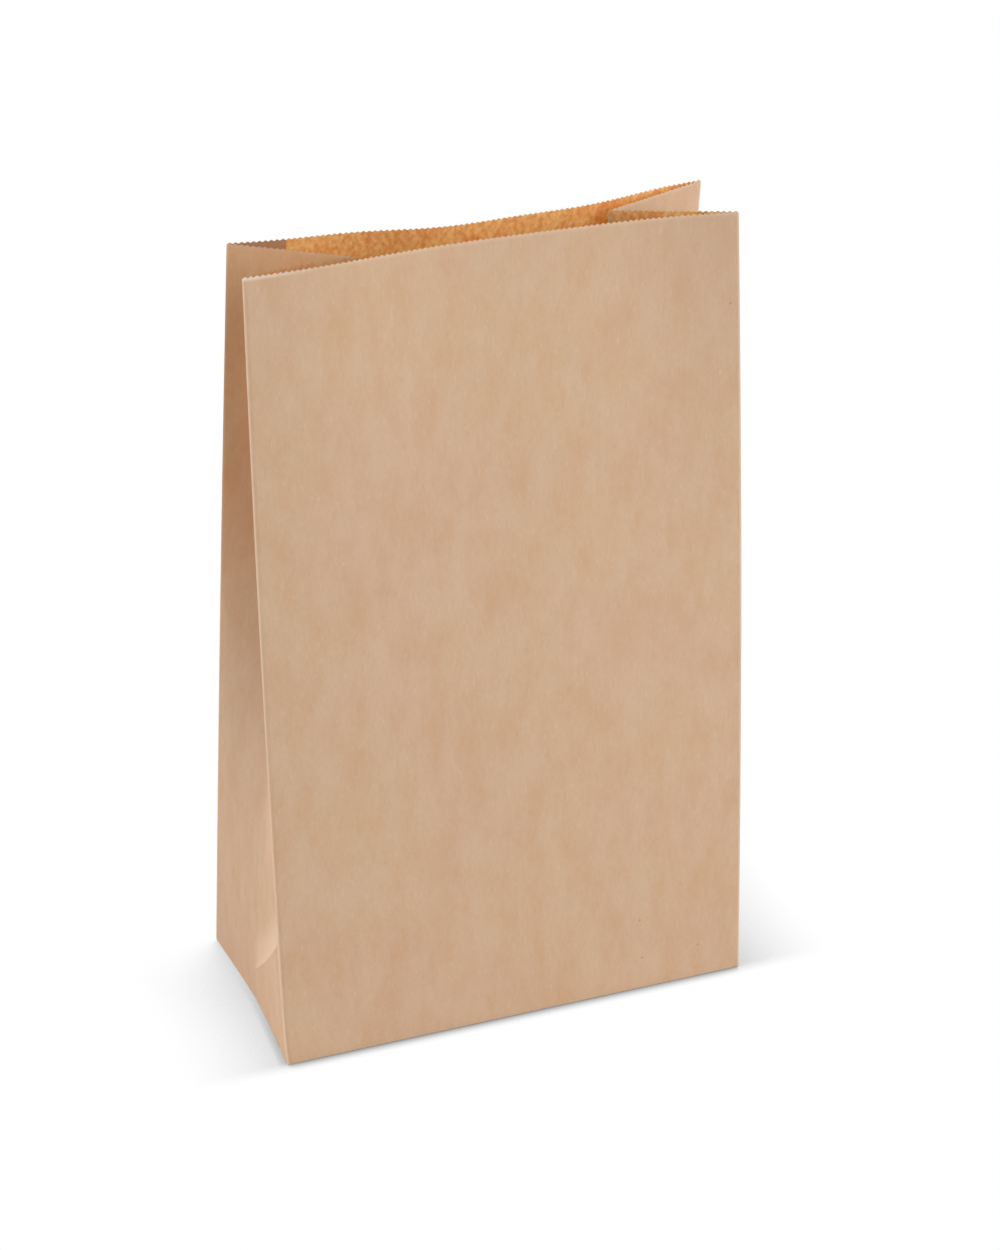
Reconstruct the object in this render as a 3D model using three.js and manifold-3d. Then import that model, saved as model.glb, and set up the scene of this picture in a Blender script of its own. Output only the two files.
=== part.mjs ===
// Block-bottom kraft paper bag, standing open with its side gussets half folded in.
// It is one sheet: two wide panels and two creased gussets, joined by a lapped seam,
// folded shut below by two overlapping flaps, and cut to a row of small teeth at the mouth.
// Millimetres, +Z up, origin at the middle of the base, front panel towards -Y.

import * as THREE from 'three';
import { mergeVertices, toCreasedNormals } from 'three/addons/utils/BufferGeometryUtils.js';
import Module from 'manifold-3d';

// Sheet and base
const width = 220;
const depth = 110;
const height = 360;
const paper = 0.12;
const seamLap = 25;
const flapOverlap = 20;
const basePlies = 3;
const foldMargin = 1;

// Mouth: how far the panels stand apart at their ends, and where each corner has moved to
const mouthGap = 42.6;
const leftMouthForward = 3.0;
const rightMouthBack = 1.2;
const frontLeftInset = 0.5;
const frontRightInset = -0.3;
const backLeftInset = 7.1;
const backRightInset = -2.6;
const frontBow = 6.8;
const frontWave = -0.6;
const backBow = 9.6;
const backLean = 0.9;
const backWave = -0.6;

// Cut edge
const toothPitch = 2.5;
const toothDepth = 0.9;

// Gussets: how far they are drawn in at the foot, how late they fold in, and how soon they grow straight
const sidePinch = 2.5;
const pinchRounding = 1.25;
const tuckEase = 0.8;
const roundingFade = 1.5;

// Slanting crease that runs down the left gusset from its front edge, and the dent above it
const slantHeight = 61;
const slantSlope = 0.86;
const dentDepth = 1.9;
const dentRise = 16;
const dentFromEdge = 3;

// Fineness of the facets
const panelColumns = 9;
const gussetColumns = 11;
const seamColumns = 2;
const slantRows = 5;
const upperRows = 17;
const upperGrading = 1.2;

const paperColour = 0xcfa984;
const sharpFold = THREE.MathUtils.degToRad(25);
const stepKey = 1e-6;
const straightOnCosine = 0.9;
const mergeReach = 1e-5;
const mitreLimit = 2 * paper;
const halfDepth = depth / 2;
const halfWidth = width / 2;
const flapLength = halfDepth + flapOverlap / 2;

// Corner of a panel: its foot on the floor, and its mouth a full sheet length up the leaning edge
function corner(footX, footY, mouthX, mouthY) {
  const run = Math.hypot(mouthX - footX, mouthY - footY);
  const rise = Math.sqrt(height ** 2 - run ** 2);
  return { foot: new THREE.Vector3(footX, footY, 0), mouth: new THREE.Vector3(mouthX, mouthY, rise) };
}

// Centre crease of a gusset: half the gusset's width from both mouth corners, on the bag's inner side
function centreCrease(front, back) {
  const inward = -Math.sign(front.foot.x);
  const gap = back.mouth.clone().sub(front.mouth).setZ(0);
  const middle = back.mouth.clone().add(front.mouth).divideScalar(2);
  const tuck = Math.sqrt(halfDepth ** 2 - gap.lengthSq() / 4);
  const across = new THREE.Vector3(gap.y, -gap.x, 0).normalize().multiplyScalar(inward * tuck);
  const footX = front.foot.x + inward * sidePinch;
  return { ...corner(footX, 0, middle.x + across.x, middle.y + across.y), inward };
}

const leftFrontY = -leftMouthForward - mouthGap / 2;
const rightFrontY = rightMouthBack - mouthGap / 2;
const frontLeft = corner(-halfWidth, -halfDepth, -halfWidth + frontLeftInset, leftFrontY);
const frontRight = corner(halfWidth, -halfDepth, halfWidth - frontRightInset, rightFrontY);
const backLeft = corner(-halfWidth, halfDepth, -halfWidth + backLeftInset, leftFrontY + mouthGap);
const backRight = corner(halfWidth, halfDepth, halfWidth - backRightInset, rightFrontY + mouthGap);
const leftCrease = centreCrease(frontLeft, backLeft);
const rightCrease = centreCrease(frontRight, backRight);

// Wide panel between two corners: flat at the foot, bowed and waved into the bag towards the mouth
function panelPoint(from, to, bows, s, t) {
  const foot = from.foot.clone().lerp(to.foot, s);
  const lean = from.mouth.clone().lerp(to.mouth, s).sub(foot).multiplyScalar(t);
  const bow = bows.reduce((sum, size, i) => sum + size * Math.sin((i + 1) * Math.PI * s), 0);
  lean.y += bow * t ** 2;
  lean.z = Math.sqrt((t * height) ** 2 - lean.x ** 2 - lean.y ** 2);
  return foot.add(lean);
}

// Level of the slanting crease at a place across half a gusset
const slantLevel = (w) => (slantHeight - slantSlope * w * halfDepth) / height;

// Levels are drawn out so that one row of facets follows the slanting crease
function slantedLevel(w, t) {
  const fold = slantLevel(0);
  const crease = slantLevel(w);
  return t < fold ? (t * crease) / fold : crease + ((t - fold) * (1 - crease)) / (1 - fold);
}

const eased = (share) => THREE.MathUtils.smoothstep(share, 0, 1);

// Half a gusset, from the panel's edge (w = 0) to the centre crease (w = 1), which goes deeper in with
// height: rounded and nearly flat at the foot, and folded in to a straight V at the mouth
function gussetPoint(edge, crease, w, level) {
  const t = slantedLevel(w, level);
  const alongMouth = crease.mouth.clone().sub(edge.mouth);
  const alongFoot = crease.foot.clone().sub(edge.foot);
  const tuck = THREE.MathUtils.lerp(t, eased(t), tuckEase);
  const creaseX = edge.foot.x + (crease.mouth.x - edge.foot.x) * tuck;
  const roundness = Math.max(1 - t, 0) ** roundingFade;
  const across = THREE.MathUtils.lerp(w, eased(w), roundness);
  const pinch = roundness * (1 - (1 - w) ** pinchRounding);
  const point = edge.foot.clone().lerp(edge.mouth, t);
  point.x += (creaseX - point.x) * across + alongFoot.x * pinch;
  point.y += (alongMouth.y * t + alongFoot.y * (1 - t)) * w;
  point.z += alongMouth.z * t * w;
  return point;
}

// Depth of the dent: nothing below the slanting crease, a quick rise above it, then a slow return
function dent(w, level) {
  const above = (height * (slantedLevel(w, level) - slantLevel(w))) / dentRise;
  if (above <= 0) return 0;
  const offEdge = 1 - Math.exp((-w * halfDepth) / dentFromEdge);
  return dentDepth * above * Math.exp(1 - above) * (1 - w ** 2) * offEdge;
}

function dentedGussetPoint(edge, crease, w, level) {
  const point = gussetPoint(edge, crease, w, level);
  point.x += crease.inward * dent(w, level);
  return point;
}

// The sheet once round, from the front left edge, with the paper plies that lie in each stretch
const seamStart = 1 - seamLap / width;
const frontBows = [frontBow, 0, frontWave];
const backBows = [-backBow, -backLean, -backWave];
const frontPanel = {
  length: width,
  columns: panelColumns,
  plies: 1,
  at: (s, t) => panelPoint(frontLeft, frontRight, frontBows, s, t),
};
const backPanel = {
  length: width - seamLap,
  columns: panelColumns,
  plies: 1,
  at: (s, t) => panelPoint(backRight, backLeft, backBows, s * seamStart, t),
};
const backSeam = {
  length: seamLap,
  columns: seamColumns,
  plies: 2,
  at: (s, t) => panelPoint(backRight, backLeft, backBows, seamStart + s * (1 - seamStart), t),
};
const gussetHalf = (at) => ({ length: halfDepth, columns: gussetColumns, plies: 1, at });
const stretches = [
  frontPanel,
  gussetHalf((s, t) => gussetPoint(frontRight, rightCrease, s, t)),
  gussetHalf((s, t) => gussetPoint(backRight, rightCrease, 1 - s, t)),
  backPanel,
  backSeam,
  gussetHalf((s, t) => gussetPoint(backLeft, leftCrease, s, t)),
  gussetHalf((s, t) => dentedGussetPoint(frontLeft, leftCrease, 1 - s, t)),
];

// A key names a place round the sheet: the stretch's number plus the share of that stretch
const stretchOf = (key) => stretches[Math.floor(key) % stretches.length];
const sheetPoint = (key, t) => stretchOf(key).at(key - Math.floor(key), t);
const coarseKeys = stretches.flatMap((stretch, k) => keysIn(k, stretch.columns));
const toothKeys = stretches.flatMap((stretch, k) => keysIn(k, Math.round(stretch.length / toothPitch)));

function keysIn(k, cells) {
  return Array.from({ length: cells }, (_, i) => k + i / cells);
}

const positions = [];
const triangles = [];

function addVertex(point, shift) {
  positions.push(point.x + shift.x, point.y + shift.y, point.z);
  return positions.length / 3 - 1;
}

function outward(from, to) {
  return new THREE.Vector2(to.y - from.y, from.x - to.x).normalize();
}

// Shift of a vertex that puts it on both neighbouring faces, held short where a fold is acute
function mitre(normalBefore, normalAfter, offsetBefore, offsetAfter) {
  const cosine = normalBefore.dot(normalAfter);
  const shift = normalBefore.clone().add(normalAfter).multiplyScalar(offsetAfter / (1 + cosine));
  if (offsetBefore !== offsetAfter) {
    const sineSquared = 1 - cosine ** 2;
    shift.copy(normalBefore).multiplyScalar((offsetBefore - cosine * offsetAfter) / sineSquared);
    shift.addScaledVector(normalAfter, (offsetAfter - cosine * offsetBefore) / sineSquared);
  }
  return shift.clampLength(0, mitreLimit);
}

// One level of one face of the paper, closed on itself.
// The outer face has two vertices where the lapped seam steps out by a ply.
function addRing(keys, t, offsetOf) {
  const points = keys.map((key) => sheetPoint(key, t));
  const ring = [];
  keys.forEach((key, i) => {
    const normalBefore = outward(points.at(i - 1), points[i]);
    const normalAfter = outward(points[i], points[(i + 1) % points.length]);
    const offsetBefore = offsetOf(keys.at(i - 1));
    const offsetAfter = offsetOf(key);
    const straightOn = normalBefore.dot(normalAfter) > straightOnCosine;
    if (straightOn && offsetBefore !== offsetAfter) {
      ring.push({ key, index: addVertex(points[i], normalBefore.clone().multiplyScalar(offsetBefore)) });
      const stepped = addVertex(points[i], normalAfter.clone().multiplyScalar(offsetAfter));
      ring.push({ key: key + stepKey, index: stepped });
      return;
    }
    const shift = mitre(normalBefore, normalAfter, offsetBefore, offsetAfter);
    ring.push({ key, index: addVertex(points[i], shift) });
  });
  ring.push({ ...ring[0], key: stretches.length });
  return ring;
}

function addTriangle(a, b, c, flip) {
  triangles.push(...(flip ? [a, c, b] : [a, b, c]));
}

// Strip between two rings whose vertices need not match, taken in the order of their keys
function joinRings(lower, upper, flip) {
  let i = 0;
  let j = 0;
  while (i < lower.length - 1 || j < upper.length - 1) {
    const nextLower = lower[i + 1]?.key ?? Infinity;
    const nextUpper = upper[j + 1]?.key ?? Infinity;
    if (nextLower <= nextUpper) {
      addTriangle(lower[i].index, lower[i + 1].index, upper[j].index, flip);
      i += 1;
    } else {
      addTriangle(lower[i].index, upper[j + 1].index, upper[j].index, flip);
      j += 1;
    }
  }
}

// Teeth standing on the highest ring; the zigzag that they make is returned for the cut edge
function addTeeth(ring, offsetOf, flip) {
  const zigzag = [];
  ring.slice(0, -1).forEach((valley, i) => {
    zigzag.push(valley);
    const next = ring[i + 1];
    if (next.key - valley.key <= stepKey) return;
    const middle = (valley.key + next.key) / 2;
    const from = sheetPoint(valley.key, valleyLevel);
    const to = sheetPoint(middle, valleyLevel);
    const shift = outward(from, to).multiplyScalar(offsetOf(valley.key));
    const tip = addVertex(sheetPoint(middle, 1), shift);
    addTriangle(valley.index, next.index, tip, flip);
    zigzag.push({ key: middle, index: tip });
  });
  zigzag.push(ring.at(-1));
  return zigzag;
}

function addFlat(ring, flip) {
  const loop = ring.slice(0, -1).map(({ index }) => index);
  const outline = loop.map((v) => new THREE.Vector2(positions[3 * v], positions[3 * v + 1]));
  const faces = THREE.ShapeUtils.triangulateShape(outline, []);
  faces.forEach(([a, b, c]) => addTriangle(loop[a], loop[b], loop[c], flip));
}

const valleyLevel = 1 - toothDepth / height;
const foldLevel = slantLevel(0);
const lowerLevels = Array.from({ length: slantRows }, (_, i) => (foldLevel * i) / slantRows);
const upperLevels = Array.from(
  { length: upperRows },
  (_, i) => foldLevel + (valleyLevel - foldLevel) * (i / upperRows) ** upperGrading,
);
const levels = [...lowerLevels, ...upperLevels];
const floorLevel = (basePlies * paper) / height;

// One face of the sheet, from its lowest level up to its teeth, with the flat that closes it below
function addFace(lowest, offsetOf, flip) {
  const rings = [lowest, ...levels.slice(1)].map((t) => addRing(coarseKeys, t, offsetOf));
  rings.push(addRing(toothKeys, valleyLevel, offsetOf));
  rings.slice(1).forEach((ring, i) => joinRings(rings[i], ring, flip));
  addFlat(rings[0], !flip);
  return addTeeth(rings.at(-1), offsetOf, flip);
}

const outerOffset = (key) => paper * (stretchOf(key).plies - 0.5);
const innerOffset = () => -paper / 2;
const outerEdge = addFace(0, outerOffset, false);
const innerEdge = addFace(floorLevel, innerOffset, true);
joinRings(outerEdge, innerEdge, false);

const shellGeometry = new THREE.BufferGeometry();
shellGeometry.setAttribute('position', new THREE.Float32BufferAttribute(positions, 3));
shellGeometry.setIndex(triangles);

// Folded base: the end folds lie deepest, the front flap over them, and the back flap over all
const wasm = await Module();
wasm.setup();

function solidOf(geometry) {
  const bare = geometry.clone();
  bare.deleteAttribute('normal');
  bare.deleteAttribute('uv');
  const merged = mergeVertices(bare, mergeReach);
  const vertProperties = Float32Array.from(merged.attributes.position.array);
  const triVerts = Uint32Array.from(merged.index.array);
  return new wasm.Manifold(new wasm.Mesh({ numProp: 3, vertProperties, triVerts }));
}

// Flap with its ends folded in at 45 degrees; side is 1 for the back flap and -1 for the front one
function flapSolid(side) {
  const outline = new THREE.Shape();
  outline.moveTo(-halfWidth - foldMargin, side * (halfDepth + foldMargin));
  outline.lineTo(halfWidth + foldMargin, side * (halfDepth + foldMargin));
  outline.lineTo(halfWidth - flapLength, side * (halfDepth - flapLength));
  outline.lineTo(-halfWidth + flapLength, side * (halfDepth - flapLength));
  const geometry = new THREE.ExtrudeGeometry(outline, { depth: 2 * foldMargin, bevelEnabled: false });
  return solidOf(geometry.translate(0, 0, -foldMargin));
}

function boxSolid(sizeX, sizeY, bottom, top) {
  const geometry = new THREE.BoxGeometry(sizeX, sizeY, top - bottom);
  return solidOf(geometry.translate(0, 0, (bottom + top) / 2));
}

const cutX = width + 4 * foldMargin;
const cutY = depth + 4 * foldMargin;
const backFlap = flapSolid(1);
const bothFlaps = backFlap.add(flapSolid(-1));
const besideBackFlap = boxSolid(cutX, cutY, -foldMargin / 2, paper).subtract(backFlap);
const besideFlaps = boxSolid(cutX, cutY, -foldMargin / 2, 2 * paper).subtract(bothFlaps);
const betweenEndFolds = boxSolid(
  width - 2 * flapLength,
  depth - 2 * foldMargin,
  (basePlies - 1) * paper,
  (basePlies + 1) * paper,
);
const bag = solidOf(shellGeometry).subtract(besideBackFlap).subtract(besideFlaps).subtract(betweenEndFolds);

const bagMesh = bag.getMesh();
const bagGeometry = new THREE.BufferGeometry();
bagGeometry.setAttribute('position', new THREE.Float32BufferAttribute(bagMesh.vertProperties, 3));
bagGeometry.setIndex(new THREE.Uint32BufferAttribute(bagMesh.triVerts, 1));

const paperBag = new THREE.Mesh(
  toCreasedNormals(bagGeometry, sharpFold),
  new THREE.MeshStandardMaterial({ color: paperColour, roughness: 0.85, metalness: 0 }),
);
paperBag.name = 'paper_bag';

const product = new THREE.Group();
product.add(paperBag);

export default product;
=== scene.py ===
import math

import bpy
from mathutils import Matrix, Vector


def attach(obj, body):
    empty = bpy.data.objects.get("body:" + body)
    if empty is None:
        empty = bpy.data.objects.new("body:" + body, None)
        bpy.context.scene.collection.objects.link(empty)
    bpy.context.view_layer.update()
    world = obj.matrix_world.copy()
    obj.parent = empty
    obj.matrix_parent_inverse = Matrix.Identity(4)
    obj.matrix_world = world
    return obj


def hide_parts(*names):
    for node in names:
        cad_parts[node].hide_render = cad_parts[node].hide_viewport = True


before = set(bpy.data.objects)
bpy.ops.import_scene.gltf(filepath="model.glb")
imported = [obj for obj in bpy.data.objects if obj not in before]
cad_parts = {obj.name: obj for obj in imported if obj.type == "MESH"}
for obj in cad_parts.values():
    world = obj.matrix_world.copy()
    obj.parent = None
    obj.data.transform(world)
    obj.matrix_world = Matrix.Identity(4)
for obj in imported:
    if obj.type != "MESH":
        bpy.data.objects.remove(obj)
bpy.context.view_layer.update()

MM = 0.001

# The sheet: panels, gussets, seam and base flaps, as they are cut.
WIDTH = 220 * MM
DEPTH = 110 * MM
HEIGHT = 360 * MM
PAPER = 0.12 * MM
SEAM_LAP = 25 * MM
BASE_FLAP = 65 * MM
HALF_GUSSET = DEPTH / 2
ROUND_THE_BAG = 2 * (WIDTH + DEPTH)
TOOTH_PITCH = 2.5 * MM
TOOTH_DEPTH = 0.75 * MM

# Where each fold lies along the sheet, from the seam round to the back panel's end, and where the lap starts.
FRONT_START = DEPTH
FRONT_END = DEPTH + WIDTH
BACK_START = FRONT_END + DEPTH
LAP_START = ROUND_THE_BAG - SEAM_LAP
OUTER_FOLDS = (0.0, FRONT_START, FRONT_END, BACK_START, ROUND_THE_BAG)

# How far the mouth has closed, and how far its corners have moved.
MOUTH_GAP = 42.6 * MM
LEFT_MOUTH_FORWARD = 3.0 * MM
RIGHT_MOUTH_BACK = 1.2 * MM
FRONT_LEFT_INSET = 0.5 * MM
FRONT_RIGHT_INSET = -0.3 * MM
BACK_LEFT_INSET = 7.1 * MM
BACK_RIGHT_INSET = -2.6 * MM

# The waves of the two mouth edges: one, two and three half waves, and a ripple of four half waves in front
# and six behind.
FRONT_BOW = 9.4 * MM
FRONT_LEAN = -2.3 * MM
FRONT_WAVE = -0.1 * MM
FRONT_RIPPLE = -0.9 * MM
BACK_BOW = 9.6 * MM
BACK_LEAN = 0.9 * MM
BACK_WAVE = -0.6 * MM
BACK_RIPPLE = -0.8 * MM

# How far the outer folds bow outwards, and how far the front left one also does so low down.
FRONT_FOLD_BOW = 1.35 * MM
BACK_FOLD_BOW = 0.5 * MM
FOOT_BOW = 1.3 * MM
FOOT_BOW_RISE = 14 * MM

# How far the gussets are drawn in at the foot, how late they fold in, how soon they grow straight, and how
# far the front half of the left one bulges at the mouth.
SIDE_PINCH = 2.5 * MM
PINCH_ROUNDING = 1.25
TUCK_EASE = 2.0
ROUNDING_FADE = 1.5
MOUTH_BULGE = 2.5 * MM

# The slanting crease that runs down the left gusset from the front fold, and the dent above it.
SLANT_HEIGHT = 61 * MM
SLANT_SLOPE = 0.8
DENT_DEPTH = 1.9 * MM
DENT_RISE = 16 * MM
DENT_FROM_FOLD = 3 * MM

# Small bends of the paper at the foot, at the mouth and over the panels.
FOOT_TUCK = 0.8 * MM
FOOT_RISE = 7 * MM
LIP_CURL = 0.9 * MM
LIP_RISE = 10 * MM
RIPPLE = 0.3 * MM
RIPPLE_CALM = 20 * MM
RIPPLES_PER_METRE = 14.0

# The plies of the base, as heights of the middle of the paper above the floor, and the step up to the lap.
PLY = 0.13 * MM
LAP_LEVEL = PAPER / 2
BACK_LEVEL = LAP_LEVEL + PLY
FRONT_LEVEL = BACK_LEVEL + PLY
END_FOLD_LEVEL = FRONT_LEVEL + PLY
LEVEL_RISE = 5 * MM
LAP_STEP = 2 * MM
END_FOLD_REACH = 0.96 * HALF_GUSSET / BASE_FLAP
END_FOLD_TUCK = 2 * MM

# The grid that is folded. Two columns make a tooth, one row follows the slanting creases, and a fold sharper
# than the angle keeps a hard edge.
COLUMNS = round((ROUND_THE_BAG + SEAM_LAP) / TOOTH_PITCH * 2)
FLAP_ROWS = 10
SLANT_ROWS = 18
WALL_ROWS = 68
SHARP_FOLD = math.radians(50)

# Colours of the paper, and tints of painted shade and painted light, in linear values.
KRAFT_PALE = (0.664, 0.464, 0.320, 1.0)
KRAFT_DEEP = (0.622, 0.394, 0.243, 1.0)
PINK_TINT = (1.004, 0.993, 1.002, 1.0)
OLIVE_TINT = (0.996, 1.003, 0.975, 1.0)
KRAFT_FIBRE = (0.76, 0.55, 0.39, 1.0)
KRAFT_CURL = (0.42, 0.30, 0.20, 1.0)
KRAFT_SPECK = (0.16, 0.10, 0.06, 1.0)
# Pale worn kraft, also used for painted highlights.
KRAFT_WORN_AND_HIGHLIGHT = (0.80, 0.57, 0.40, 1.0)
KRAFT_FUZZ = (0.88, 0.72, 0.58, 1.0)
NO_TINT = (1.0, 1.0, 1.0, 1.0)
# Tints of painted shade and painted light on the left gusset: browner where its fold deepens, golden near the
# mouth, paler at the rim.
GUSSET_PAINTED_SHADE_TINT = (1.07, 0.94, 0.82, 1.0)
MOUTH_PAINTED_LIGHT_TINT = (1.15, 1.04, 0.87, 1.0)
RIM_PAINTED_LIGHT_TINT = (1.17, 1.12, 0.98, 1.0)
INSIDE_DARK = (0.70, 0.30, 0.10, 1.0)
INSIDE_BRIGHT = (0.94, 0.55, 0.26, 1.0)
# Darker inside colours, with no light through the paper: the two-ply lap's, and painted shade inside the
# front half of the left gusset.
INSIDE_SEAM_AND_SHADE_DARK = (0.48, 0.245, 0.125, 1.0)
INSIDE_SEAM_AND_SHADE_PALE = (0.66, 0.37, 0.20, 1.0)
CUT_EDGE_DARK = (0.52, 0.32, 0.18, 1.0)
CUT_EDGE_PALE = (0.76, 0.55, 0.38, 1.0)

# How far red, green and blue light travel in the inside paper, how soft the edge of its two-ply strip is, and
# how much painted shade, in the darker colours that let no light through, lies inside the front half of the
# left gusset.
LIGHT_THROUGH_PAPER = (1.0, 0.68, 0.53)
LIGHT_REACH = 0.6 * MM
LAP_BLUR = 0.5 * MM
GUSSET_SHADE = 0.75

# The paper's patterns, each as its size, its detail and its roughness.
CLOUDS = (70 * MM, 3.0, 0.5)
MOTTLES = (13 * MM, 6.0, 0.75)
FLECKS = (1.1 * MM, 3.0, 0.65)
FIBRES = (1.6 * MM, 2.0, 0.5)
CURLS = (5 * MM, 2.0, 0.5)
CURL_PATCHES = (17 * MM, 1.0, 0.5)
INSIDE_CLOUDS = (16 * MM, 3.0, 0.6)
INSIDE_STREAKS = (2.0 * MM, 3.0, 0.6)
EDGE_FUZZ = (1.1 * MM, 2.0, 0.5)

# How much heights are shrunk under a pattern, which draws it out upwards.
FIBRE_STRETCH = 0.35
MOTTLE_STRETCH = 0.4
INSIDE_STRETCH = 0.65

# The values of a pattern from which, and up to which, it shows.
CLOUD_RANGE = (0.35, 0.65)
MOTTLE_RANGE = (0.28, 0.72)
FIBRE_RANGE = (0.6, 0.75)
CURL_RANGE = (0.55, 0.7)
CURL_WIDTH = 0.012
INSIDE_RANGE = (0.34, 0.66)

# How strongly each mark shows on the kraft.
FIBRE_SHARE = 0.3
CURL_SHARE = 0.25
SPECK_SHARE = 0.7
DARK_SPECK_SHARE = 0.4
FACET_HIGHLIGHT_SHARE = 0.6
FOLD_WEAR_AND_HIGHLIGHT_SHARE = 0.95
RIM_WEAR_SHARE = 0.45

# Scattered specks, and the dark ones of the front panel, by their distance from the left fold and their
# height.
SPECK_SPACING = 33 * MM
SPECK_REACH = 0.5 * MM
DARK_SPECKS = ((216 * MM, 320 * MM), (170 * MM, 35.5 * MM), (199 * MM, 16.7 * MM), (171 * MM, 16.2 * MM))
DARK_SPECK_REACH = 0.7 * MM
MARK_SHARPNESS = 1.6

# How much painted shade the left gusset has low down, and the heights between which its painted shade
# deepens, it turns golden with painted light, and then paler with painted light at the rim.
LOW_PAINTED_SHADE = 0.12
PAINTED_SHADE_HEIGHTS = (150 * MM, 250 * MM)
PAINTED_MOUTH_LIGHT_HEIGHTS = (250 * MM, 310 * MM)
PAINTED_RIM_LIGHT_HEIGHTS = (328 * MM, 356 * MM)

# The painted highlight on the strip above the slanting crease: its lower edge, its fade upwards, and its two
# ends from the fold.
FACET_EDGE = (-0.4 * MM, 0.6 * MM)
FACET_FADE = (8 * MM, 24 * MM)
FACET_START = (0.5 * MM, 2 * MM)
FACET_END = (50 * MM, 60 * MM)

# Wear and painted highlight along the folds, wear of the rim and its front left corner, and the painted shade
# lines beside the front left fold and the lap.
FOLD_WEAR_AND_HIGHLIGHT_REACH = 0.9 * MM
RIM_WEAR_HEIGHTS = (HEIGHT - 2.5 * MM, HEIGHT - 0.5 * MM)
CORNER_WEAR_REACH = 30 * MM
CORNER_WEAR_START = FRONT_START - 1 * MM
FOLD_SHADE_LINE = FRONT_START + 1.5 * MM
FOLD_SHADE_REACH = 0.8 * MM
SEAM_SHADE_LINE = LAP_START - 0.3 * MM
SEAM_SHADE_REACH = 0.7 * MM

# The relief of each paper, as its strength and its depth.
OUTSIDE_RELIEF = (0.25, 0.06 * MM)
INSIDE_RELIEF = (0.3, 0.08 * MM)
EDGE_RELIEF = (0.2, 0.05 * MM)

# The white floor and its soft shadow, which lies beside the bag, with a line of contact shadow that fades
# towards the back.
FLOOR_REACH = 5.0
FLOOR_GREY = (0.92, 0.92, 0.92, 1.0)
SHADOW_DEPTH = 1.2
SHADOW_FALL = 1.3
SHADOW_REACH = 50 * MM
SHADOW_LEAN = (-0.1, 0.9, 0.45)
SHADOW_FRONT = (-61 * MM, -51.5 * MM)
SHADOW_BACK = (58 * MM, 68 * MM)
SHADOW_SAMPLES = 6
CONTACT_DEPTH = 0.35
CONTACT_REACH = 4 * MM
CONTACT_LEAN = (0.9, 0.0, 0.45)
CONTACT_FADE = (-40 * MM, 40 * MM)

# The light: a white room, soft lights by their azimuth, elevation and strength, and a lamp on the right.
ROOM_LIGHT = 0.2
ROOM_WHITE = (1.0, 1.0, 1.0, 1.0)
SOFT_LIGHT_SPREAD = math.radians(40)
SOFT_LIGHTS = (
    ("left_light", math.radians(125), math.radians(10), 0.82),
    ("front_light", math.radians(-20), math.radians(25), 0.41),
)
RIGHT_LAMP_AZIMUTH = math.radians(-55)
RIGHT_LAMP_ELEVATION = math.radians(25)
RIGHT_LAMP_DISTANCE = 0.9
RIGHT_LAMP_SIZE = 1.0
RIGHT_LAMP_STRENGTH = 0.42

# The camera, fitted to the photograph's 1000 x 1250 frame.
FRAME_LONG_SIDE = 1250
FOCAL_PIXELS = 3016.16
SENSOR = 36.0
VIEW_AZIMUTH = math.radians(21.65)
VIEW_ELEVATION = math.radians(26.96)
VIEW_ROLL = math.radians(0.38)
VIEW_DISTANCE = 1.34103
VIEW_TARGET = Vector((0.01121, 0.0, 0.17072))


class Wire:
    """An output of a node. Arithmetic on wires adds the Math nodes that work it out."""

    def __init__(self, tree, socket=None):
        self.tree = tree
        self.socket = socket

    def node(self, kind, settings=None, sockets=None, output=0):
        made = self.tree.nodes.new(kind)
        for name, value in (settings or {}).items():
            setattr(made, name, value)
        for key, value in (sockets or {}).items():
            if isinstance(value, Wire):
                self.tree.links.new(value.socket, made.inputs[key])
            else:
                made.inputs[key].default_value = value
        return Wire(self.tree, made.outputs[output]) if made.outputs else None

    def output(self, key):
        return Wire(self.tree, self.socket.node.outputs[key])

    def math(self, operation, *values):
        return self.node("ShaderNodeMath", {"operation": operation}, dict(enumerate(values)))

    def __add__(self, other):
        return self.math("ADD", self, other)

    def __radd__(self, other):
        return self.math("ADD", other, self)

    def __sub__(self, other):
        return self.math("SUBTRACT", self, other)

    def __rsub__(self, other):
        return self.math("SUBTRACT", other, self)

    def __mul__(self, other):
        return self.math("MULTIPLY", self, other)

    def __rmul__(self, other):
        return self.math("MULTIPLY", other, self)

    def __truediv__(self, other):
        return self.math("DIVIDE", self, other)

    def __rtruediv__(self, other):
        return self.math("DIVIDE", other, self)

    def __pow__(self, other):
        return self.math("POWER", self, other)

    def __neg__(self):
        return self.math("MULTIPLY", self, -1.0)

    def __abs__(self):
        return self.math("ABSOLUTE", self)

    def __lt__(self, other):
        return self.math("LESS_THAN", self, other)

    def __gt__(self, other):
        return self.math("GREATER_THAN", self, other)

    def at_least(self, other):
        return self.math("MAXIMUM", self, other)

    def at_most(self, other):
        return self.math("MINIMUM", self, other)

    def clamped(self):
        return self.at_least(0.0).at_most(1.0)

    def root(self):
        return self.math("SQRT", self)

    def exp(self):
        return self.math("EXPONENT", self)

    def split(self):
        axes = self.node("ShaderNodeSeparateXYZ", None, {0: self})
        return [axes.output(axis) for axis in range(3)]

    def joined(self, x, y, z):
        return self.node("ShaderNodeCombineXYZ", None, {0: x, 1: y, 2: z})

    def smooth_between(self, low, high):
        return self.node("ShaderNodeMapRange", {"interpolation_type": "SMOOTHSTEP"},
                         {"Value": self, "From Min": low, "From Max": high})


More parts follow.
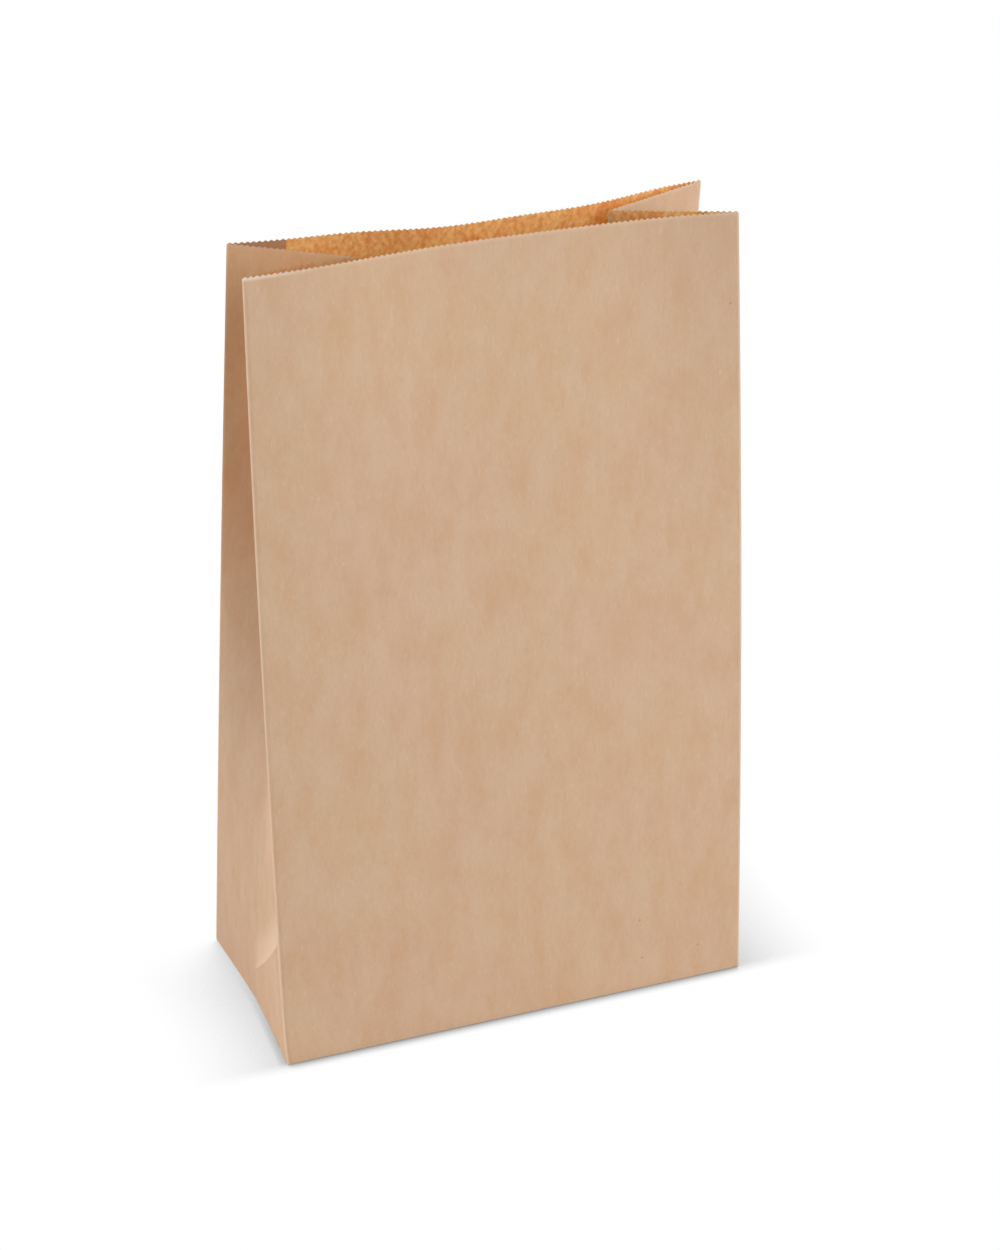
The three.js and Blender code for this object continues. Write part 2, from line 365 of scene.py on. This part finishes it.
def mouth_corner(foot_x, foot_y, mouth_x, mouth_y):
    """The corner fold keeps its length, so a fold that leans ends lower."""
    run = math.hypot(mouth_x - foot_x, mouth_y - foot_y)
    return Vector((mouth_x, mouth_y, math.sqrt(HEIGHT ** 2 - run ** 2)))


def crease_mouth(front, back, inward):
    """The top of a gusset's crease lies half a gusset from both corners of its side."""
    gap = (back - front).xy
    middle = (front + back) / 2
    tuck = math.sqrt(HALF_GUSSET ** 2 - gap.length_squared / 4)
    aside = Vector((gap.y, -gap.x)).normalized() * inward * tuck
    return mouth_corner(-inward * (WIDTH / 2 - SIDE_PINCH), 0.0, middle.x + aside.x, middle.y + aside.y)


def fold_sizes():
    """The inputs of the fold, with the top corners worked out from the lengths of the paper."""
    left_front_y = -LEFT_MOUTH_FORWARD - MOUTH_GAP / 2
    right_front_y = RIGHT_MOUTH_BACK - MOUTH_GAP / 2
    half_width = WIDTH / 2
    half_depth = DEPTH / 2
    front_left = mouth_corner(-half_width, -half_depth, -half_width + FRONT_LEFT_INSET, left_front_y)
    front_right = mouth_corner(half_width, -half_depth, half_width - FRONT_RIGHT_INSET, right_front_y)
    back_left = mouth_corner(-half_width, half_depth,
                             -half_width + BACK_LEFT_INSET, left_front_y + MOUTH_GAP)
    back_right = mouth_corner(half_width, half_depth,
                              half_width - BACK_RIGHT_INSET, right_front_y + MOUTH_GAP)
    return {
        "Front left mouth": front_left,
        "Front right mouth": front_right,
        "Back left mouth": back_left,
        "Back right mouth": back_right,
        "Left crease mouth": crease_mouth(front_left, back_left, 1),
        "Right crease mouth": crease_mouth(front_right, back_right, -1),
        "Width": WIDTH,
        "Depth": DEPTH,
        "Height": HEIGHT,
        "Seam lap": SEAM_LAP,
        "Base flap": BASE_FLAP,
        "Tooth pitch": TOOTH_PITCH,
        "Tooth depth": TOOTH_DEPTH,
        "Front bow": FRONT_BOW,
        "Front lean": FRONT_LEAN,
        "Front wave": FRONT_WAVE,
        "Front ripple": FRONT_RIPPLE,
        "Back bow": BACK_BOW,
        "Back lean": BACK_LEAN,
        "Back wave": BACK_WAVE,
        "Back ripple": BACK_RIPPLE,
        "Front fold bow": FRONT_FOLD_BOW,
        "Back fold bow": BACK_FOLD_BOW,
        "Foot bow": FOOT_BOW,
        "Foot bow rise": FOOT_BOW_RISE,
        "Side pinch": SIDE_PINCH,
        "Pinch rounding": PINCH_ROUNDING,
        "Tuck ease": TUCK_EASE,
        "Mouth bulge": MOUTH_BULGE,
        "Rounding fade": ROUNDING_FADE,
        "Slant height": SLANT_HEIGHT,
        "Slant slope": SLANT_SLOPE,
        "Dent depth": DENT_DEPTH,
        "Dent rise": DENT_RISE,
        "Dent from fold": DENT_FROM_FOLD,
        "Foot tuck": FOOT_TUCK,
        "Foot rise": FOOT_RISE,
        "Lip curl": LIP_CURL,
        "Lip rise": LIP_RISE,
        "Ripple": RIPPLE,
    }


def mixed_place(factor, low, high):
    return factor.node("ShaderNodeMix", {"data_type": "VECTOR"}, {0: factor, 4: low, 5: high}, output=1)


def line_at(along, place, reach):
    """One at that place, fading to nothing that far from it."""
    return (1 - abs(along - place) / reach).clamped()


def closest(gaps):
    least = gaps[0]
    for gap in gaps[1:]:
        least = least.at_most(gap)
    return least


def near_folds(along, reach):
    """One on the outer folds, fading to nothing that far from them."""
    return (1 - closest([abs(along - fold) for fold in OUTER_FOLDS]) / reach).clamped()


class Sheet:
    """Where the points of the flat grid lie round the bag, and which stretch of it they are in."""

    def __init__(self, start, size):
        self.size = size
        self.half_gusset = size["Depth"] / 2
        across, self.grid_up, _ = start.node("GeometryNodeInputPosition").split()
        front_end = size["Width"] + size["Depth"]
        self.along = across + (2 * front_end - size["Seam lap"]) / 2
        self.lap = self.along < 0.0
        self.around = self.along + self.lap * (2 * front_end)
        self.back = self.around > front_end + size["Depth"]
        self.front = (self.around > size["Depth"]) * (self.around < front_end)
        self.gusset = 1 - self.front - self.back
        self.left = self.around < size["Depth"]
        self.forward = (self.around > self.half_gusset) * (self.around < front_end + self.half_gusset)
        crease = self.left * self.half_gusset + (1 - self.left) * (front_end + self.half_gusset)
        self.inset = self.gusset * line_at(self.around, crease, self.half_gusset)
        self.slant = size["Slant height"] - size["Slant slope"] * self.inset * self.half_gusset
        self.up = self.height_up()
        self.rise = self.up.at_least(0.0) / size["Height"]

    def height_up(self):
        """Rows crowd at the foot, the slanting crease and the mouth, and every other top point is a tooth."""
        size = self.size
        row = (self.grid_up + 0.5) * (FLAP_ROWS + WALL_ROWS) - FLAP_ROWS
        flap = (row / FLAP_ROWS).at_most(0.0) * size["Base flap"]
        lower, upper = [(1 - row.math("COSINE", share.clamped() * math.pi)) / 2
                        for share in (row / SLANT_ROWS, (row - SLANT_ROWS) / (WALL_ROWS - SLANT_ROWS))]
        half_pitch = size["Tooth pitch"] / 2
        tooth = row.math("PINGPONG", self.along + size["Seam lap"], half_pitch) / half_pitch
        teeth = (row > WALL_ROWS - 0.5) * tooth * size["Tooth depth"]
        return flap + self.slant * lower + (size["Height"] - size["Tooth depth"] - self.slant) * upper + teeth


def eased(share):
    return share * share * (3 - 2 * share)


def fold_bow(sheet, forward, left):
    """How far an outer fold bows outwards. The front left one also does so low down."""
    size, rise = sheet.size, sheet.rise
    bow = size["Back fold bow"] + (size["Front fold bow"] - size["Back fold bow"]) * forward
    above_foot = 1 - (-sheet.up.at_least(0.0) / size["Foot bow rise"]).exp()
    low_bow = size["Foot bow"] * above_foot * (1 - rise).at_least(0.0) ** 3.0
    return bow * rise.math("SINE", rise * math.pi) + low_bow * forward * left


def gusset_dent(sheet):
    """Nothing below the slanting crease, a quick rise above it, and then a slow return."""
    size = sheet.size
    above = (sheet.up - sheet.slant).at_least(0.0) / size["Dent rise"]
    off_fold = 1 - (-sheet.inset * sheet.half_gusset / size["Dent from fold"]).exp()
    return size["Dent depth"] * above * (1 - above).exp() * (1 - sheet.inset ** 4) * off_fold


def gusset_place(sheet):
    """A half gusset is rounded and nearly flat at the foot, and folded in to a straight V at the mouth."""
    size, rise, left, forward, inset = sheet.size, sheet.rise, sheet.left, sheet.forward, sheet.inset
    outward = 1 - 2 * left
    foot = [outward * size["Width"] / 2, (1 - 2 * forward) * sheet.half_gusset, 0.0]
    mouth = mixed_place(left, mixed_place(forward, size["Back right mouth"], size["Front right mouth"]),
                        mixed_place(forward, size["Back left mouth"], size["Front left mouth"])).split()
    top = mixed_place(left, size["Right crease mouth"], size["Left crease mouth"]).split()
    edge = [low + (high - low) * rise for low, high in zip(foot, mouth)]
    edge[0] = edge[0] + outward * fold_bow(sheet, forward, left)
    deeper, shallower = [share.at_least(0.0) ** size["Tuck ease"] for share in (rise, 1 - rise)]
    tuck = deeper / (deeper + shallower)
    crease_x = foot[0] + (top[0] - foot[0]) * tuck
    roundness = (1 - rise).at_least(0.0) ** size["Rounding fade"]
    across = inset + (eased(inset) - inset) * roundness
    pinch = size["Side pinch"] * roundness * (1 - (1 - inset) ** size["Pinch rounding"])
    dent = gusset_dent(sheet) * left * forward
    x = edge[0] + (crease_x - edge[0]) * across - outward * (pinch + dent)
    bulge = size["Mouth bulge"] * 4 * inset * (1 - inset) * rise ** 4 * left * forward
    y = edge[1] + ((top[1] - mouth[1]) * rise - foot[1] * (1 - rise)) * inset + bulge
    z = edge[2] + (top[2] - mouth[2]) * rise * inset
    return [x, y, z]


def panel_place(sheet):
    """A wide panel leans from its foot to a mouth edge that bows inwards."""
    size, rise, back = sheet.size, sheet.rise, sheet.back
    start = size["Depth"] + back * (size["Width"] + size["Depth"])
    share = ((sheet.around - start) / size["Width"]).clamped()
    side = 1 - 2 * back
    foot = [side * (share - 0.5) * size["Width"], -side * sheet.half_gusset]
    first = mixed_place(back, size["Front left mouth"], size["Back right mouth"])
    last = mixed_place(back, size["Front right mouth"], size["Back left mouth"])
    mouth = mixed_place(share, first, last).split()
    hollow, lean, wave, ripple, flutter = [share.math("SINE", share * math.pi * halves)
                                           for halves in (1, 2, 3, 4, 6)]
    front_bow = (size["Front bow"] * hollow + size["Front lean"] * lean + size["Front wave"] * wave
                 + size["Front ripple"] * ripple)
    back_bow = (size["Back bow"] * hollow + size["Back lean"] * lean + size["Back wave"] * wave
                + size["Back ripple"] * flutter)
    below_lip = (1 - rise) * size["Height"]
    curl = size["Lip curl"] * (-below_lip / size["Lip rise"]).exp() * hollow
    lean_x = (mouth[0] - foot[0]) * rise
    bow = (1 - back) * front_bow - back * back_bow
    lean_y = (mouth[1] - foot[1]) * rise + bow * rise * rise + side * curl
    length = rise * size["Height"]
    lean_z = (length * length - lean_x * lean_x - lean_y * lean_y).at_least(0.0).root()
    widening = side * (2 * share - 1) * fold_bow(sheet, 1 - back, share < 0.5)
    return [foot[0] + lean_x + widening, foot[1] + lean_y, lean_z]


def folded_place(sheet):
    size, up, gusset, lap = sheet.size, sheet.up, sheet.gusset, sheet.lap
    wall = [folded * gusset + flat * (1 - gusset)
            for folded, flat in zip(gusset_place(sheet), panel_place(sheet))]
    lift = (-sheet.along / LAP_STEP).clamped() * lap * PLY
    tuck = (1 - up.at_least(0.0) / size["Foot rise"]).at_least(0.0)
    y_side = up.math("SIGN", wall[1])
    wall[1] = wall[1] + lift - y_side * size["Foot tuck"] * tuck * tuck * (1 - gusset)
    tucked_in = (-up).at_least(0.0) * (1 - gusset * (1 - END_FOLD_REACH))
    under = END_FOLD_TUCK * gusset * (tucked_in / END_FOLD_TUCK).clamped()
    x = wall[0] * (1 - tucked_in / (size["Width"] / 2))
    y = wall[1] * (1 - tucked_in / sheet.half_gusset) + y_side * under * abs(wall[1]) / sheet.half_gusset
    level = (lap * LAP_LEVEL + sheet.back * (1 - lap) * BACK_LEVEL + sheet.front * FRONT_LEVEL
             + gusset * END_FOLD_LEVEL)
    z = wall[2] + level * (1 - up / LEVEL_RISE).clamped()
    return up.joined(x, y, z)


def added(name, data):
    made = bpy.data.objects.new(name, data)
    bpy.context.scene.collection.objects.link(made)
    return made


def fold_tree(material):
    tree = bpy.data.node_groups.new("fold_kraft_sheet", "GeometryNodeTree")
    sizes = fold_sizes()
    for name, value in sizes.items():
        kind = "NodeSocketVector" if isinstance(value, Vector) else "NodeSocketFloat"
        tree.interface.new_socket(name=name, in_out="INPUT", socket_type=kind)
    tree.interface.new_socket(name="Bag", in_out="OUTPUT", socket_type="NodeSocketGeometry")
    start = Wire(tree).node("NodeGroupInput")
    size = {name: start.output(name) for name in sizes}
    length = 2 * (size["Width"] + size["Depth"]) + size["Seam lap"]
    paper = start.node("GeometryNodeMeshGrid", None, {
        "Size X": length, "Size Y": 1.0, "Vertices X": COLUMNS + 1, "Vertices Y": FLAP_ROWS + WALL_ROWS + 1})
    sheet = Sheet(start, size)
    paper = start.node("GeometryNodeStoreNamedAttribute", {"data_type": "FLOAT2", "domain": "CORNER"}, {
        "Geometry": paper, "Name": "sheet", "Value": start.joined(sheet.along, sheet.up, 0.0)})
    paper = start.node("GeometryNodeSetPosition", None, {"Geometry": paper, "Position": folded_place(sheet)})
    spot = start.node("GeometryNodeInputNamedAttribute", {"data_type": "FLOAT_VECTOR"}, {"Name": "sheet"})
    swell = start.node("ShaderNodeTexNoise", None, {
        "Vector": spot, "Scale": RIPPLES_PER_METRE, "Detail": 2.0})
    along, up, _ = spot.split()
    calm = (up / RIPPLE_CALM).clamped() * (1 - near_folds(along, RIPPLE_CALM))
    push = start.node("ShaderNodeVectorMath", {"operation": "SCALE"}, {
        0: start.node("GeometryNodeInputNormal"), "Scale": (swell - 0.5) * size["Ripple"] * 2 * calm})
    paper = start.node("GeometryNodeSetPosition", None, {"Geometry": paper, "Offset": push})
    paper = start.node("GeometryNodeRealizeInstances", None, {"Geometry": paper})
    paper = start.node("GeometryNodeSetMaterial", None, {"Geometry": paper, "Material": material})
    start.node("NodeGroupOutput", None, {"Bag": paper})
    return tree, sizes


def make_bag(outside, inside, cut_edge):
    maker = added("paper_blank", bpy.data.meshes.new("paper_blank"))
    fold = maker.modifiers.new("fold", "NODES")
    fold.node_group, sizes = fold_tree(outside)
    for item in fold.node_group.interface.items_tree:
        if item.in_out == "INPUT":
            fold[item.identifier] = sizes[item.name]
    thickness = maker.modifiers.new("paper", "SOLIDIFY")
    thickness.thickness = PAPER
    thickness.offset = 0.0
    thickness.use_even_offset = False
    depsgraph = bpy.context.evaluated_depsgraph_get()
    mesh = bpy.data.meshes.new_from_object(maker.evaluated_get(depsgraph), preserve_all_data_layers=True,
                                           depsgraph=depsgraph)
    bpy.data.objects.remove(maker)
    mesh.name = "folded_paper_bag"
    mesh.materials.clear()
    for material in (outside, inside, cut_edge):
        mesh.materials.append(material)
    # Solidify lists the outer skin first, then the inner skin, then the cut edges.
    skin = COLUMNS * (FLAP_ROWS + WALL_ROWS)
    faces = len(mesh.polygons)
    mesh.polygons.foreach_set("material_index", [0] * skin + [1] * skin + [2] * (faces - 2 * skin))
    mesh.polygons.foreach_set("use_smooth", [True] * faces)
    mesh.set_sharp_from_angle(angle=SHARP_FOLD)
    return added("folded_paper_bag", mesh)


def new_material(name):
    material = bpy.data.materials.new(name)
    material.use_nodes = True
    material.node_tree.nodes.clear()
    return material, Wire(material.node_tree)


def paper_shader(start, colour, roughness, bump, light_through=0.0):
    return start.node("ShaderNodeBsdfPrincipled", None, {
        "Base Color": colour, "Roughness": roughness, "Normal": bump, "Specular IOR Level": 0.2,
        "Subsurface Weight": light_through, "Subsurface Radius": LIGHT_THROUGH_PAPER,
        "Subsurface Scale": LIGHT_REACH})


def finish_material(start, shader):
    start.node("ShaderNodeOutputMaterial", None, {"Surface": shader})


def noise(spot, size, detail, roughness):
    """Cloudy variation whose patches are about that many metres across."""
    return spot.node("ShaderNodeTexNoise", None, {
        "Vector": spot, "Scale": 1 / size, "Detail": detail, "Roughness": roughness})


def relief(height, strength, depth):
    return height.node("ShaderNodeBump", None, {"Height": height, "Strength": strength, "Distance": depth})


def mixed_colour(factor, low, high):
    return factor.node("ShaderNodeMix", {"data_type": "RGBA"}, {0: factor, 6: low, 7: high}, output=2)


def scaled_colour(colour, factor):
    return factor.node("ShaderNodeVectorMath", {"operation": "SCALE"}, {0: colour, "Scale": factor})


def tinted(colour, tint):
    return colour.node("ShaderNodeVectorMath", {"operation": "MULTIPLY"}, {0: colour, 1: tint})


def sheet_place(start):
    """How far along the flat sheet a point lies, and how high."""
    along, up, _ = start.node("ShaderNodeUVMap", {"uv_map": "sheet"}).split()
    return along, up


def drawn_out(along, up, stretch):
    """The place on the sheet with its height shrunk, so that a pattern there is drawn out upwards."""
    return along.joined(along, up * stretch, 0.0)


def left_gusset_painted_shade_and_light(along, up):
    """Painted shade, browner with height as the gusset folds in, and painted light, golden near the mouth
    where light comes through and paler at the rim.
    """
    left = (along > 0.0) * (along < FRONT_START)
    painted_shade = left * (LOW_PAINTED_SHADE + (1 - LOW_PAINTED_SHADE) * up.smooth_between(*PAINTED_SHADE_HEIGHTS))
    tint = mixed_colour(painted_shade, NO_TINT, GUSSET_PAINTED_SHADE_TINT)
    tint = mixed_colour(left * up.smooth_between(*PAINTED_MOUTH_LIGHT_HEIGHTS), tint, MOUTH_PAINTED_LIGHT_TINT)
    return mixed_colour(left * up.smooth_between(*PAINTED_RIM_LIGHT_HEIGHTS), tint, RIM_PAINTED_LIGHT_TINT)


def slant_facet_highlight(along, up):
    """The painted highlight on the strip above the slanting crease of the left gusset: sharp below, fading
    upwards.
    """
    from_fold = FRONT_START - along
    above = up - (SLANT_HEIGHT - SLANT_SLOPE * from_fold)
    strip = above.smooth_between(*FACET_EDGE) * (1 - above.smooth_between(*FACET_FADE))
    return strip * from_fold.smooth_between(*FACET_START) * (1 - from_fold.smooth_between(*FACET_END))


def scattered_specks(spot):
    """One speck in each cell, of any size up to the largest."""
    cell = spot.node("ShaderNodeTexVoronoi", None, {"Vector": spot, "Scale": 1 / SPECK_SPACING})
    share = cell.output("Color").split()[0]
    return (1 - cell * SPECK_SPACING / (SPECK_REACH * share)).clamped()


def dark_specks(along, up):
    gaps = []
    for from_fold, height in DARK_SPECKS:
        beside, above = along - (FRONT_START + from_fold), up - height
        gaps.append((beside * beside + above * above).root())
    return (MARK_SHARPNESS * (1 - closest(gaps) / DARK_SPECK_REACH)).clamped()


def kraft_outside():
    material, start = new_material("kraft_outside")
    along, up = sheet_place(start)
    spot = start.joined(along, up, 0.0)
    fibre_spot = drawn_out(along, up, FIBRE_STRETCH)
    cloud = noise(spot, *CLOUDS)
    mottle = noise(drawn_out(along, up, MOTTLE_STRETCH), *MOTTLES)
    fleck = noise(fibre_spot, *FLECKS)
    fibre = noise(fibre_spot, *FIBRES).smooth_between(*FIBRE_RANGE)
    curl = line_at(noise(spot, *CURLS), 0.5, CURL_WIDTH)
    curl = curl * noise(spot, *CURL_PATCHES).smooth_between(*CURL_RANGE)
    colour = mixed_colour(mottle.smooth_between(*MOTTLE_RANGE), KRAFT_PALE, KRAFT_DEEP)
    colour = tinted(colour, mixed_colour(cloud.smooth_between(*CLOUD_RANGE), PINK_TINT, OLIVE_TINT))
    colour = mixed_colour(FIBRE_SHARE * fibre, colour, KRAFT_FIBRE)
    colour = mixed_colour(CURL_SHARE * curl, colour, KRAFT_CURL)
    colour = mixed_colour(SPECK_SHARE * scattered_specks(spot), colour, KRAFT_SPECK)
    colour = mixed_colour(DARK_SPECK_SHARE * dark_specks(along, up), colour, KRAFT_SPECK)
    # Painted shade and painted light on the left gusset.
    colour = tinted(colour, left_gusset_painted_shade_and_light(along, up))
    # Painted highlight on the strip above the slanting crease.
    colour = mixed_colour(FACET_HIGHLIGHT_SHARE * slant_facet_highlight(along, up), colour, KRAFT_WORN_AND_HIGHLIGHT)
    # Wear and painted highlight along the outer folds.
    fold_wear_and_highlight = (MARK_SHARPNESS * near_folds(along, FOLD_WEAR_AND_HIGHLIGHT_REACH)).at_most(FOLD_WEAR_AND_HIGHLIGHT_SHARE)
    colour = mixed_colour(fold_wear_and_highlight, colour, KRAFT_WORN_AND_HIGHLIGHT)
    rim = up.smooth_between(*RIM_WEAR_HEIGHTS)
    corner = line_at(along, FRONT_START, CORNER_WEAR_REACH) * (along > CORNER_WEAR_START)
    colour = mixed_colour(RIM_WEAR_SHARE * rim, colour, KRAFT_WORN_AND_HIGHLIGHT)
    colour = mixed_colour(rim * corner * (0.5 + fleck).at_most(1.0), colour, KRAFT_FUZZ)
    # Painted shade lines beside the front left fold and along the lap's edge.
    fold_shade = line_at(along, FOLD_SHADE_LINE, FOLD_SHADE_REACH)
    seam_shade = line_at(along, SEAM_SHADE_LINE, SEAM_SHADE_REACH)
    shade = 0.90 + 0.04 * cloud + 0.14 * fleck - 0.07 * fold_shade - 0.2 * seam_shade
    bump = relief(fleck + 0.5 * mottle, *OUTSIDE_RELIEF)
    finish_material(start, paper_shader(start, scaled_colour(colour, shade), 0.62 + 0.16 * fleck, bump))
    return material


def kraft_inside():
    material, start = new_material("kraft_inside")
    along, up = sheet_place(start)
    cloud = noise(start.joined(along, up, 0.0), *INSIDE_CLOUDS)
    streak = noise(drawn_out(along, up, INSIDE_STRETCH), *INSIDE_STREAKS)
    through = (0.35 * cloud + 0.65 * streak).smooth_between(*INSIDE_RANGE)
    colour = mixed_colour(through, INSIDE_DARK, INSIDE_BRIGHT)
    seam_and_shade_colour = mixed_colour(streak, INSIDE_SEAM_AND_SHADE_DARK, INSIDE_SEAM_AND_SHADE_PALE)
    roughness = 0.75 + 0.15 * streak
    bump = relief(streak, *INSIDE_RELIEF)
    glowing = paper_shader(start, colour, roughness, bump, light_through=1.0)
    seam_and_shade_paper = paper_shader(start, seam_and_shade_colour, roughness, bump)
    two_ply = along.smooth_between(LAP_START - LAP_BLUR, LAP_START + LAP_BLUR)
    # Painted shade: the inside of the front half of the left gusset takes the darker colours, with no light
    # through the paper.
    shaded = GUSSET_SHADE * (along > FRONT_START - HALF_GUSSET) * (along < FRONT_START)
    finish_material(start, start.node("ShaderNodeMixShader", None, {
        0: two_ply.at_least(shaded), 1: glowing, 2: seam_and_shade_paper}))
    return material


def kraft_cut_edge():
    material, start = new_material("kraft_cut_edge")
    fuzz = noise(start.joined(*sheet_place(start), 0.0), *EDGE_FUZZ)
    colour = mixed_colour(fuzz, CUT_EDGE_DARK, CUT_EDGE_PALE)
    finish_material(start, paper_shader(start, colour, 0.8 + 0.15 * fuzz, relief(fuzz, *EDGE_RELIEF)))
    return material


def seen_directly(start):
    path = start.node("ShaderNodeLightPath")
    seen = path.output("Is Camera Ray").at_least(path.output("Is Glossy Ray"))
    return seen.at_least(path.output("Is Transmission Ray"))


def covered(start, reach, lean):
    """How much of the view in that direction is covered within that distance."""
    open_view = start.node("ShaderNodeAmbientOcclusion", {"samples": SHADOW_SAMPLES}, {
        "Distance": reach, "Normal": start.joined(*lean)}, output="AO")
    return 1 - open_view


def make_floor():
    material, start = new_material("white_floor")
    lit = start.node("ShaderNodeBsdfDiffuse", None, {"Color": FLOOR_GREY})
    shadow = covered(start, SHADOW_REACH, SHADOW_LEAN) ** SHADOW_FALL
    deep = start.node("ShaderNodeTexCoord", output="Object").split()[1]
    beside = deep.smooth_between(*SHADOW_FRONT) * (1 - deep.smooth_between(*SHADOW_BACK))
    contact = covered(start, CONTACT_REACH, CONTACT_LEAN) * (1 - deep.smooth_between(*CONTACT_FADE))
    white = start.node("ShaderNodeEmission", None, {
        "Color": 1 - beside * (SHADOW_DEPTH * shadow + CONTACT_DEPTH * contact), "Strength": 1.0})
    finish_material(start, start.node("ShaderNodeMixShader", None, {
        0: seen_directly(start), 1: lit, 2: white}))
    mesh = bpy.data.meshes.new("white_floor")
    corners = [(x * FLOOR_REACH, y * FLOOR_REACH, 0) for x, y in ((-1, -1), (1, -1), (1, 1), (-1, 1))]
    mesh.from_pydata(corners, [], [(0, 1, 2, 3)])
    mesh.materials.append(material)
    floor = added("white_floor", mesh)


def from_front(azimuth, elevation):
    """The direction that lies that far to the left of the front, and that far up."""
    level = math.cos(elevation)
    return Vector((-math.sin(azimuth) * level, -math.cos(azimuth) * level, math.sin(elevation)))


def place_light(light, direction, distance):
    holder = added(light.name, light)
    holder.location = Vector((0, 0, HEIGHT / 2)) + direction * distance
    holder.rotation_euler = direction.to_track_quat("Z", "Y").to_euler()


def make_light():
    world = bpy.data.worlds.new("white_room")
    world.use_nodes = True
    world.node_tree.nodes.clear()
    start = Wire(world.node_tree)
    sky = start.node("ShaderNodeBackground", None, {
        "Color": ROOM_WHITE, "Strength": ROOM_LIGHT + (1 - ROOM_LIGHT) * seen_directly(start)})
    start.node("ShaderNodeOutputWorld", None, {"Surface": sky})
    bpy.context.scene.world = world
    for name, azimuth, elevation, strength in SOFT_LIGHTS:
        light = bpy.data.lights.new(name, "SUN")
        light.angle = SOFT_LIGHT_SPREAD
        light.energy = strength * math.pi
        place_light(light, from_front(azimuth, elevation), 0.0)
    lamp = bpy.data.lights.new("right_lamp", "AREA")
    lamp.shape = "DISK"
    lamp.size = RIGHT_LAMP_SIZE
    lamp.energy = RIGHT_LAMP_STRENGTH * (math.pi * RIGHT_LAMP_DISTANCE) ** 2
    place_light(lamp, from_front(RIGHT_LAMP_AZIMUTH, RIGHT_LAMP_ELEVATION), RIGHT_LAMP_DISTANCE)


def make_camera():
    data = bpy.data.cameras.new("photo_view")
    data.sensor_width = SENSOR
    data.lens = FOCAL_PIXELS / FRAME_LONG_SIDE * SENSOR
    camera = added("photo_view", data)
    back = from_front(VIEW_AZIMUTH, VIEW_ELEVATION)
    level = Vector((0, 0, 1)).cross(back).normalized()
    upright = back.cross(level)
    right = level * math.cos(VIEW_ROLL) + upright * math.sin(VIEW_ROLL)
    up = back.cross(right)
    turn = Matrix((right, up, back)).transposed().to_4x4()
    camera.matrix_world = Matrix.Translation(VIEW_TARGET + back * VIEW_DISTANCE) @ turn
    bpy.context.scene.camera = camera


bag = make_bag(kraft_outside(), kraft_inside(), kraft_cut_edge())
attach(bag, "root")
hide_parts("paper_bag")
make_floor()
make_light()
make_camera()
bpy.context.scene.view_settings.view_transform = "Standard"
